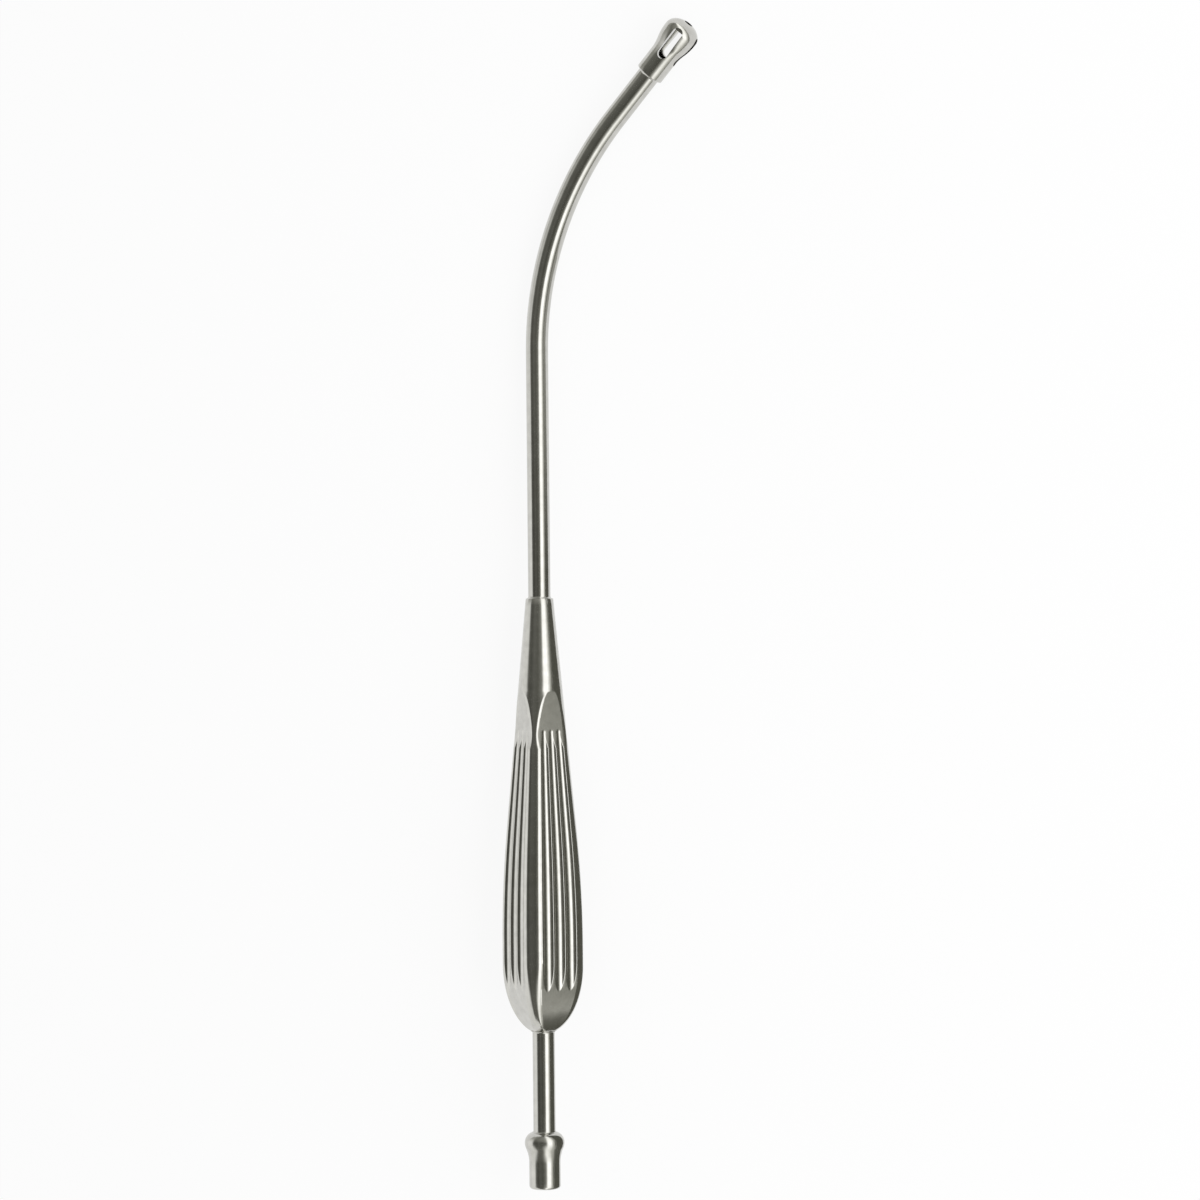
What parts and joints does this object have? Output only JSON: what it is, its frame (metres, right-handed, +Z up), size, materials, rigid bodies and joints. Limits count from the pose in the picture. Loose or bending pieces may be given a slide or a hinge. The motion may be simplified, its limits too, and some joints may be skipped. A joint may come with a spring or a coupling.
{
  "type": "suction tube",
  "caption": "Curved stainless suction tube with a slotted bulbous tip, a hollow fluted handle and an olive connector for the suction hose.",
  "frame": {"origin": "centre of the bounding box, on the table that the part lies on", "axes": "+Y along the straight part of the tube toward the tip, as seen from above; +X toward the side that the tip bends to; +Z up from the table"},
  "size_m": [0.0636, 0.337, 0.0244],
  "materials": {
    "steel_turned": "polished",
    "steel_drawn": "polished",
    "steel_pressed": "polished"
  },
  "bodies": {
    "root": {"suction_tip": "steel_turned", "suction_tube": "steel_drawn", "handle_shell_front": "steel_pressed", "handle_shell_back": "steel_pressed", "hose_connector": "steel_turned"}
  },
  "joints": []
}
